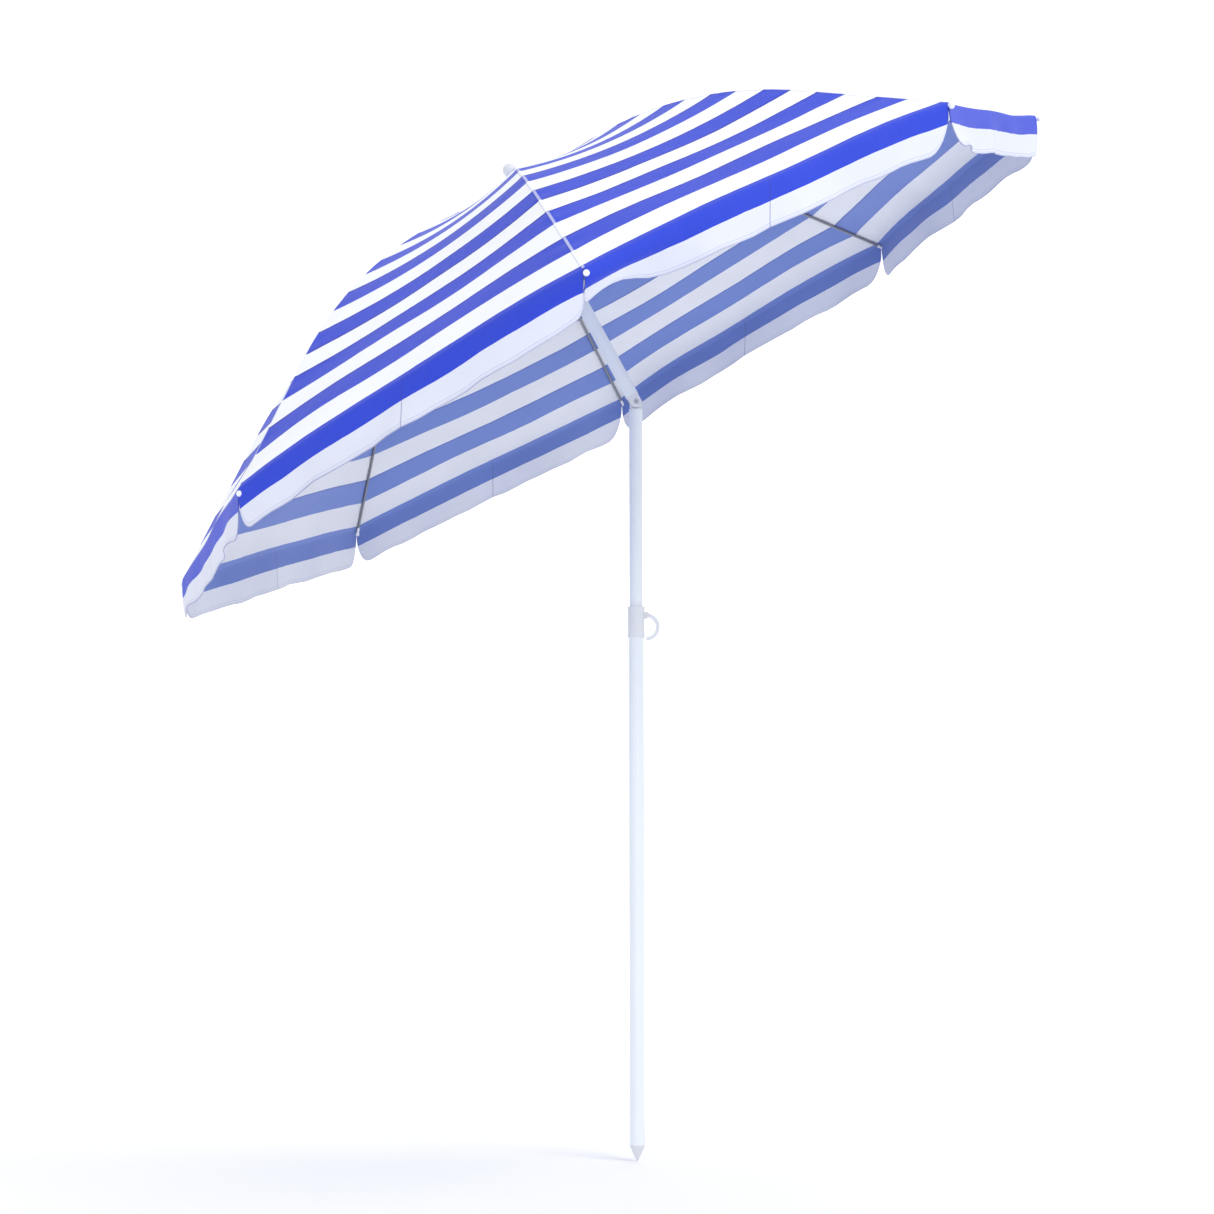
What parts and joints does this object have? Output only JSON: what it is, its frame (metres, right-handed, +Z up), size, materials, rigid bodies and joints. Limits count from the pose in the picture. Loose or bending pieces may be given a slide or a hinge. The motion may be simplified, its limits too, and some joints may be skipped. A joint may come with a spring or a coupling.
{
  "type": "beach umbrella",
  "caption": "Striped canopy umbrella with a valance, on a spiked telescoping pole with a cam lever lock, a push-button tilt joint and ribs that fold by a runner.",
  "frame": {"origin": "centre of the lower pole's bottom end, where the ground spike starts", "axes": "+Z up along the pole; the canopy leans towards -X; the tilt pivot runs along Y"},
  "size_m": [1.4202, 1.6132, 1.7405],
  "materials": {
    "painted_tube": "white powder coat, satin",
    "spike_plastic": "pale grey moulded plastic",
    "white_plastic": "white moulded plastic, semi-gloss",
    "shoe_plastic": "grey nylon",
    "bright_steel": "zinc-plated steel",
    "rib_fibre": "grey painted steel rod",
    "painted_rib": "grey painted steel",
    "tip_plastic": "white moulded plastic",
    "canopy_cloth": "woven polyester, blue and white stripes"
  },
  "bodies": {
    "base": {"lower_pole": "painted_tube", "ground_spike": "spike_plastic", "lock_collar": "white_plastic", "lever_pin": "bright_steel"},
    "lever": {"lock_lever": "white_plastic"},
    "shoe": {"brake_shoe": "shoe_plastic"},
    "guide": {"pole_guide_bush": "shoe_plastic"},
    "mast": {"upper_pole": "painted_tube", "tilt_tongue": "white_plastic", "tilt_pin": "bright_steel", "button_spring": "bright_steel"},
    "button": {"tilt_button": "bright_steel"},
    "head": {"tilt_fork": "white_plastic", "canopy_pole": "painted_tube", "crown": "white_plastic", "crown_ring": "bright_steel", "finial": "white_plastic", "runner_catch": "bright_steel"},
    "slider": {"runner": "white_plastic", "runner_ring": "bright_steel"},
    "rib_1": {"rib_1": "rib_fibre", "rib_tip_1": "tip_plastic", "rib_bracket_1": "bright_steel", "canopy_panel_1": "canopy_cloth"},
    "rib_2": {"rib_2": "rib_fibre", "rib_tip_2": "tip_plastic", "rib_bracket_2": "bright_steel", "canopy_panel_2": "canopy_cloth"},
    "rib_3": {"rib_3": "rib_fibre", "rib_tip_3": "tip_plastic", "rib_bracket_3": "bright_steel", "canopy_panel_3": "canopy_cloth"},
    "rib_4": {"rib_4": "rib_fibre", "rib_tip_4": "tip_plastic", "rib_bracket_4": "bright_steel", "canopy_panel_4": "canopy_cloth"},
    "rib_5": {"rib_5": "rib_fibre", "rib_tip_5": "tip_plastic", "rib_bracket_5": "bright_steel", "canopy_panel_5": "canopy_cloth"},
    "rib_6": {"rib_6": "rib_fibre", "rib_tip_6": "tip_plastic", "rib_bracket_6": "bright_steel", "canopy_panel_6": "canopy_cloth"},
    "rib_7": {"rib_7": "rib_fibre", "rib_tip_7": "tip_plastic", "rib_bracket_7": "bright_steel", "canopy_panel_7": "canopy_cloth"},
    "rib_8": {"rib_8": "rib_fibre", "rib_tip_8": "tip_plastic", "rib_bracket_8": "bright_steel", "canopy_panel_8": "canopy_cloth"},
    "stretcher_1": {"stretcher_1": "painted_rib"},
    "stretcher_2": {"stretcher_2": "painted_rib"},
    "stretcher_3": {"stretcher_3": "painted_rib"},
    "stretcher_4": {"stretcher_4": "painted_rib"},
    "stretcher_5": {"stretcher_5": "painted_rib"},
    "stretcher_6": {"stretcher_6": "painted_rib"},
    "stretcher_7": {"stretcher_7": "painted_rib"},
    "stretcher_8": {"stretcher_8": "painted_rib"}
  },
  "joints": [
    {"name": "lock_lever_pivot", "type": "hinge", "parent": "base", "child": "lever", "pos_m": [0.0164, 0, 0.8587], "axis": [0, -1, 0], "range_deg": [0, 90]},
    {"name": "brake_shoe_slide", "type": "slide", "parent": "base", "child": "shoe", "axis": [1, 0, 0], "range_m": [0, 0.00045]},
    {"name": "pole_slide", "type": "slide", "parent": "base", "child": "guide", "axis": [0, 0, 1], "range_m": [-0.295, 0.15]},
    {"name": "pole_swivel", "type": "hinge", "parent": "guide", "child": "mast", "pos_m": [0, 0, 1.2135], "axis": [0, 0, 1], "continuous": true},
    {"name": "canopy_tilt", "type": "hinge", "parent": "mast", "child": "head", "pos_m": [0, 0, 1.2135], "axis": [0, -1, 0], "range_deg": [-28.4, 0]},
    {"name": "tilt_button_press", "type": "slide", "parent": "mast", "child": "button", "axis": [0, 1, 0], "range_m": [-0.0025, 0], "stiffness_N_per_m": 400, "springref_m": 0.002, "deforming": ["button_spring"]},
    {"name": "rib_1_hinge", "type": "hinge", "parent": "head", "child": "rib_1", "pos_m": [-0.17889, -0.00258, 1.58287], "axis": [-0.1224, -0.9903, -0.0662], "range_deg": [-62, 0], "deforming": ["canopy_panel_1"]},
    {"name": "rib_2_hinge", "type": "hinge", "parent": "head", "child": "rib_2", "pos_m": [-0.18521, -0.01477, 1.57945], "axis": [-0.7025, -0.6018, -0.3799], "range_deg": [-62, 0], "deforming": ["canopy_panel_2"]},
    {"name": "rib_3_hinge", "type": "hinge", "parent": "head", "child": "rib_3", "pos_m": [-0.19727, -0.01832, 1.57293], "axis": [-0.8711, 0.1392, -0.471], "range_deg": [-62, 0], "deforming": ["canopy_panel_3"]},
    {"name": "rib_4_hinge", "type": "hinge", "parent": "head", "child": "rib_4", "pos_m": [-0.208, -0.01113, 1.56713], "axis": [-0.5294, 0.7986, -0.2862], "range_deg": [-62, 0], "deforming": ["canopy_panel_4"]},
    {"name": "rib_5_hinge", "type": "hinge", "parent": "head", "child": "rib_5", "pos_m": [-0.21112, 0.00258, 1.56544], "axis": [0.1224, 0.9903, 0.0662], "range_deg": [-62, 0], "deforming": ["canopy_panel_5"]},
    {"name": "rib_6_hinge", "type": "hinge", "parent": "head", "child": "rib_6", "pos_m": [-0.2048, 0.01477, 1.56886], "axis": [0.7025, 0.6018, 0.3799], "range_deg": [-62, 0], "deforming": ["canopy_panel_6"]},
    {"name": "rib_7_hinge", "type": "hinge", "parent": "head", "child": "rib_7", "pos_m": [-0.19274, 0.01832, 1.57538], "axis": [0.8711, -0.1392, 0.471], "range_deg": [-62, 0], "deforming": ["canopy_panel_7"]},
    {"name": "rib_8_hinge", "type": "hinge", "parent": "head", "child": "rib_8", "pos_m": [-0.18201, 0.01113, 1.58118], "axis": [0.5294, -0.7986, 0.2862], "range_deg": [-62, 0], "deforming": ["canopy_panel_8"]},
    {"name": "runner_slide", "type": "slide", "parent": "head", "child": "slider", "axis": [-0.4756, 0, 0.8796], "range_m": [-0.21045, 0], "deforming": ["runner_catch"]},
    {"name": "stretcher_1_hinge", "type": "hinge", "parent": "slider", "child": "stretcher_1", "pos_m": [-0.10493, -0.00264, 1.44712], "axis": [-0.1224, -0.9903, -0.0662], "range_deg": [0, 35.17]},
    {"name": "stretcher_2_hinge", "type": "hinge", "parent": "slider", "child": "stretcher_2", "pos_m": [-0.11142, -0.01517, 1.44361], "axis": [-0.7025, -0.6018, -0.3799], "range_deg": [0, 35.17]},
    {"name": "stretcher_3_hinge", "type": "hinge", "parent": "slider", "child": "stretcher_3", "pos_m": [-0.1238, -0.01881, 1.43691], "axis": [-0.8711, 0.1392, -0.471], "range_deg": [0, 35.17]},
    {"name": "stretcher_4_hinge", "type": "hinge", "parent": "slider", "child": "stretcher_4", "pos_m": [-0.13483, -0.01143, 1.43095], "axis": [-0.5294, 0.7986, -0.2862], "range_deg": [0, 35.17]},
    {"name": "stretcher_5_hinge", "type": "hinge", "parent": "slider", "child": "stretcher_5", "pos_m": [-0.13803, 0.00264, 1.42922], "axis": [0.1224, 0.9903, 0.0662], "range_deg": [0, 35.17]},
    {"name": "stretcher_6_hinge", "type": "hinge", "parent": "slider", "child": "stretcher_6", "pos_m": [-0.13154, 0.01517, 1.43273], "axis": [0.7025, 0.6018, 0.3799], "range_deg": [0, 35.17]},
    {"name": "stretcher_7_hinge", "type": "hinge", "parent": "slider", "child": "stretcher_7", "pos_m": [-0.11915, 0.01881, 1.43943], "axis": [0.8711, -0.1392, 0.471], "range_deg": [0, 35.17]},
    {"name": "stretcher_8_hinge", "type": "hinge", "parent": "slider", "child": "stretcher_8", "pos_m": [-0.10813, 0.01143, 1.44538], "axis": [0.5294, -0.7986, 0.2862], "range_deg": [0, 35.17]}
  ],
  "couplings": [
    {"joint": "brake_shoe_slide", "follows": "lock_lever_pivot", "m_per_rad": 0.00028648},
    {"joint": "runner_slide", "follows": "rib_1_hinge", "m_per_rad": 0.19448},
    {"joint": "rib_2_hinge", "follows": "rib_1_hinge", "ratio": 1},
    {"joint": "rib_3_hinge", "follows": "rib_1_hinge", "ratio": 1},
    {"joint": "rib_4_hinge", "follows": "rib_1_hinge", "ratio": 1},
    {"joint": "rib_5_hinge", "follows": "rib_1_hinge", "ratio": 1},
    {"joint": "rib_6_hinge", "follows": "rib_1_hinge", "ratio": 1},
    {"joint": "rib_7_hinge", "follows": "rib_1_hinge", "ratio": 1},
    {"joint": "rib_8_hinge", "follows": "rib_1_hinge", "ratio": 1},
    {"joint": "stretcher_1_hinge", "follows": "rib_1_hinge", "ratio": -0.56719},
    {"joint": "stretcher_2_hinge", "follows": "rib_1_hinge", "ratio": -0.56719},
    {"joint": "stretcher_3_hinge", "follows": "rib_1_hinge", "ratio": -0.56719},
    {"joint": "stretcher_4_hinge", "follows": "rib_1_hinge", "ratio": -0.56719},
    {"joint": "stretcher_5_hinge", "follows": "rib_1_hinge", "ratio": -0.56719},
    {"joint": "stretcher_6_hinge", "follows": "rib_1_hinge", "ratio": -0.56719},
    {"joint": "stretcher_7_hinge", "follows": "rib_1_hinge", "ratio": -0.56719},
    {"joint": "stretcher_8_hinge", "follows": "rib_1_hinge", "ratio": -0.56719}
  ]
}
